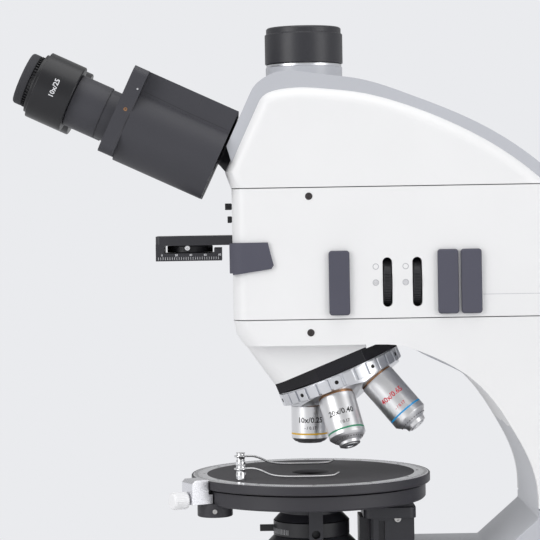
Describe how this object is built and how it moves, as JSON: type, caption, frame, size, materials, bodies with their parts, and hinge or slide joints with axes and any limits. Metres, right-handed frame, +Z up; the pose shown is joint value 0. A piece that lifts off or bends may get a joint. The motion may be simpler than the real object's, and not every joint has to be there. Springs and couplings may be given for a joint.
{
  "type": "polarizing microscope",
  "caption": "Polarizing microscope with tilted binocular head, camera port, round rotating stage, turning nosepiece, condenser and sliders in a white and grey stand.",
  "frame": {"origin": "point of the table under the optical axis, within a few millimetres of the middle of the footprint", "axes": "+Z up along the optical axis, +X to the user's right, the user sits at -Y"},
  "size_m": [0.2066, 0.3773, 0.4807],
  "materials": {
    "white_paint": "satin",
    "grey_paint": "satin",
    "black_paint": "satin",
    "black_plastic": "matte",
    "gloss_black": "gloss",
    "rubber": "matte",
    "dark_grey_pad": "matte",
    "satin_chrome": "satin",
    "polished_chrome": "polished",
    "aluminium": "satin",
    "glass": "clear",
    "white_knob": "satin",
    "steel": "brushed"
  },
  "bodies": {
    "stand": {"base_housing": "white_paint", "base_plate": "steel", "rubber_feet": "rubber", "field_lens_collar": "black_paint", "field_lens": "glass", "power_inlet": "black_plastic", "stand_frame": "grey_paint", "stand_cover": "white_paint", "illuminator_frame": "grey_paint", "illuminator_cover": "white_paint", "illuminator_block": "black_paint", "head_frame": "grey_paint", "head_cover": "white_paint", "cover_screws": "steel", "corner_grip": "dark_grey_pad", "photo_port_tube": "polished_chrome", "eyetube_flange": "black_paint", "nosepiece_seat": "gloss_black"},
    "switch": {"power_rocker": "black_plastic"},
    "dimmer": {"dimmer_knob": "black_plastic"},
    "port_cap": {"photo_port_cap": "black_paint"},
    "path_rod": {"light_path_rod": "black_plastic"},
    "nosepiece": {"nosepiece_turret": "satin_chrome", "objective_10x": "satin_chrome", "objective_20x": "satin_chrome", "objective_40x": "satin_chrome", "objective_5x": "satin_chrome"},
    "carrier": {"stage_carrier": "black_paint", "stage_base": "black_paint", "vernier_block": "aluminium"},
    "stage_rotor": {"stage_disc": "black_paint", "stage_scale_ring": "aluminium", "stage_insert": "black_paint"},
    "clamp_screw": {"stage_clamp_knob": "white_knob"},
    "clip_right": {"slide_clip_right": "polished_chrome"},
    "clip_left": {"slide_clip_left": "polished_chrome"},
    "condenser": {"condenser_holder": "black_paint", "condenser_body": "black_paint"},
    "condenser_pinion": {"condenser_knob": "black_plastic"},
    "iris_ring": {"aperture_ring": "black_plastic"},
    "lower_polarizer": {"polarizer_ring": "black_plastic"},
    "coarse_drive": {"coarse_knobs": "black_plastic"},
    "fine_drive": {"fine_knobs": "black_plastic"},
    "drag_ring": {"tension_ring": "black_plastic"},
    "analyzer_frame": {"analyzer_slider": "black_paint"},
    "analyzer_rotor": {"analyzer_disc": "black_plastic"},
    "tube_right": {"tube_housing_right": "black_paint"},
    "tube_left": {"tube_housing_left": "black_paint"},
    "ocular_right": {"eyepiece_right": "black_plastic", "eyecup_right": "rubber"},
    "ocular_left": {"eyepiece_left": "black_plastic", "eyecup_left": "rubber"},
    "polarizer_tray": {"polarizer_slider": "dark_grey_pad"},
    "filter_tray_front": {"filter_slider_front": "dark_grey_pad"},
    "filter_tray_rear": {"filter_slider_rear": "dark_grey_pad"},
    "field_iris": {"field_iris_wheel": "black_plastic"},
    "aperture_iris": {"aperture_iris_wheel": "black_plastic"},
    "compensator": {"compensator_slider": "black_plastic"},
    "bertrand_lens": {"bertrand_lens_slider": "black_plastic"}
  },
  "joints": [
    {"name": "stage_lift", "type": "slide", "parent": "stand", "child": "carrier", "axis": [0, 0, 1], "range_m": [-0.025, 0.002]},
    {"name": "coarse_focus", "type": "hinge", "parent": "stand", "child": "coarse_drive", "pos_m": [0, 0.108, 0.092], "axis": [1, 0, 0], "range_deg": [-240, 20]},
    {"name": "fine_focus", "type": "hinge", "parent": "stand", "child": "fine_drive", "pos_m": [0, 0.108, 0.092], "axis": [1, 0, 0], "continuous": true},
    {"name": "focus_tension", "type": "hinge", "parent": "stand", "child": "drag_ring", "pos_m": [0, 0.108, 0.092], "axis": [1, 0, 0], "range_deg": [-30, 30]},
    {"name": "stage_rotation", "type": "hinge", "parent": "carrier", "child": "stage_rotor", "pos_m": [0, 0, 0.185], "axis": [0, 0, 1], "continuous": true},
    {"name": "stage_clamp", "type": "hinge", "parent": "carrier", "child": "clamp_screw", "pos_m": [0.04131, -0.08108, 0.176], "axis": [-0.454, 0.891, 0], "range_deg": [0, 180]},
    {"name": "clip_turn_right", "type": "hinge", "parent": "stage_rotor", "child": "clip_right", "pos_m": [0.036, -0.046, 0.19], "axis": [0, 0, 1], "range_deg": [-20, 25]},
    {"name": "clip_turn_left", "type": "hinge", "parent": "stage_rotor", "child": "clip_left", "pos_m": [-0.036, -0.046, 0.19], "axis": [0, 0, 1], "range_deg": [-25, 20]},
    {"name": "condenser_lift", "type": "slide", "parent": "carrier", "child": "condenser", "axis": [0, 0, 1], "range_m": [-0.01, 0]},
    {"name": "condenser_height_knob", "type": "hinge", "parent": "condenser", "child": "condenser_pinion", "pos_m": [-0.03, 0.028, 0.118], "axis": [1, 0, 0], "range_deg": [-116, 1]},
    {"name": "condenser_iris", "type": "hinge", "parent": "condenser", "child": "iris_ring", "pos_m": [0, 0, 0.152], "axis": [0, 0, 1], "range_deg": [-40, 40]},
    {"name": "polarizer_turn", "type": "hinge", "parent": "condenser", "child": "lower_polarizer", "pos_m": [0, 0, 0.103], "axis": [0, 0, 1], "continuous": true},
    {"name": "nosepiece_turn", "type": "hinge", "parent": "stand", "child": "nosepiece", "pos_m": [0, 0, 0.302], "axis": [0, 0.3746, -0.9272], "continuous": true},
    {"name": "eyetube_right", "type": "hinge", "parent": "stand", "child": "tube_right", "pos_m": [0, -0.0517, 0.4066], "axis": [0, -0.9063, 0.4226], "range_deg": [-13.5, 16.5]},
    {"name": "eyetube_left", "type": "hinge", "parent": "stand", "child": "tube_left", "pos_m": [0, -0.0517, 0.4066], "axis": [0, -0.9063, 0.4226], "range_deg": [-16.5, 13.5]},
    {"name": "dioptre_right", "type": "hinge", "parent": "tube_right", "child": "ocular_right", "pos_m": [0.0322, -0.05869, 0.39161], "axis": [0, -0.9063, 0.4226], "range_deg": [-150, 150]},
    {"name": "dioptre_left", "type": "hinge", "parent": "tube_left", "child": "ocular_left", "pos_m": [-0.0322, -0.05869, 0.39161], "axis": [0, -0.9063, 0.4226], "range_deg": [-150, 150]},
    {"name": "port_cap_lift", "type": "slide", "parent": "stand", "child": "port_cap", "axis": [0, 0, 1], "range_m": [0, 0.03]},
    {"name": "light_path_pull", "type": "slide", "parent": "stand", "child": "path_rod", "axis": [-1, 0, 0], "range_m": [0, 0.015]},
    {"name": "analyzer_pull", "type": "slide", "parent": "stand", "child": "analyzer_frame", "axis": [0, -1, 0], "range_m": [0, 0.05]},
    {"name": "analyzer_turn", "type": "hinge", "parent": "analyzer_frame", "child": "analyzer_rotor", "pos_m": [0, -0.077, 0.338], "axis": [0, 0, 1], "continuous": true},
    {"name": "compensator_pull", "type": "slide", "parent": "stand", "child": "compensator", "axis": [0, -1, 0], "range_m": [0, 0.03]},
    {"name": "bertrand_pull", "type": "slide", "parent": "stand", "child": "bertrand_lens", "axis": [0, -1, 0], "range_m": [0, 0.03]},
    {"name": "polarizer_pull", "type": "slide", "parent": "stand", "child": "polarizer_tray", "axis": [1, 0, 0], "range_m": [0, 0.03]},
    {"name": "front_filter_pull", "type": "slide", "parent": "stand", "child": "filter_tray_front", "axis": [1, 0, 0], "range_m": [0, 0.03]},
    {"name": "rear_filter_pull", "type": "slide", "parent": "stand", "child": "filter_tray_rear", "axis": [1, 0, 0], "range_m": [0, 0.03]},
    {"name": "field_iris_turn", "type": "hinge", "parent": "stand", "child": "field_iris", "pos_m": [0.0369, 0.0492, 0.314], "axis": [0, 1, 0], "range_deg": [-45, 45]},
    {"name": "aperture_iris_turn", "type": "hinge", "parent": "stand", "child": "aperture_iris", "pos_m": [0.0369, 0.0682, 0.314], "axis": [0, 1, 0], "range_deg": [-45, 45]},
    {"name": "brightness", "type": "hinge", "parent": "stand", "child": "dimmer", "pos_m": [0.089, -0.03, 0.028], "axis": [1, 0, 0], "range_deg": [0, 270]},
    {"name": "power_switch", "type": "hinge", "parent": "stand", "child": "switch", "pos_m": [0.03, 0.183, 0.028], "axis": [1, 0, 0], "range_deg": [0, 12]}
  ],
  "couplings": [
    {"joint": "coarse_focus", "follows": "stage_lift", "rad_per_m": 166.67},
    {"joint": "condenser_height_knob", "follows": "condenser_lift", "rad_per_m": 200},
    {"joint": "eyetube_left", "follows": "eyetube_right", "ratio": -1}
  ]
}
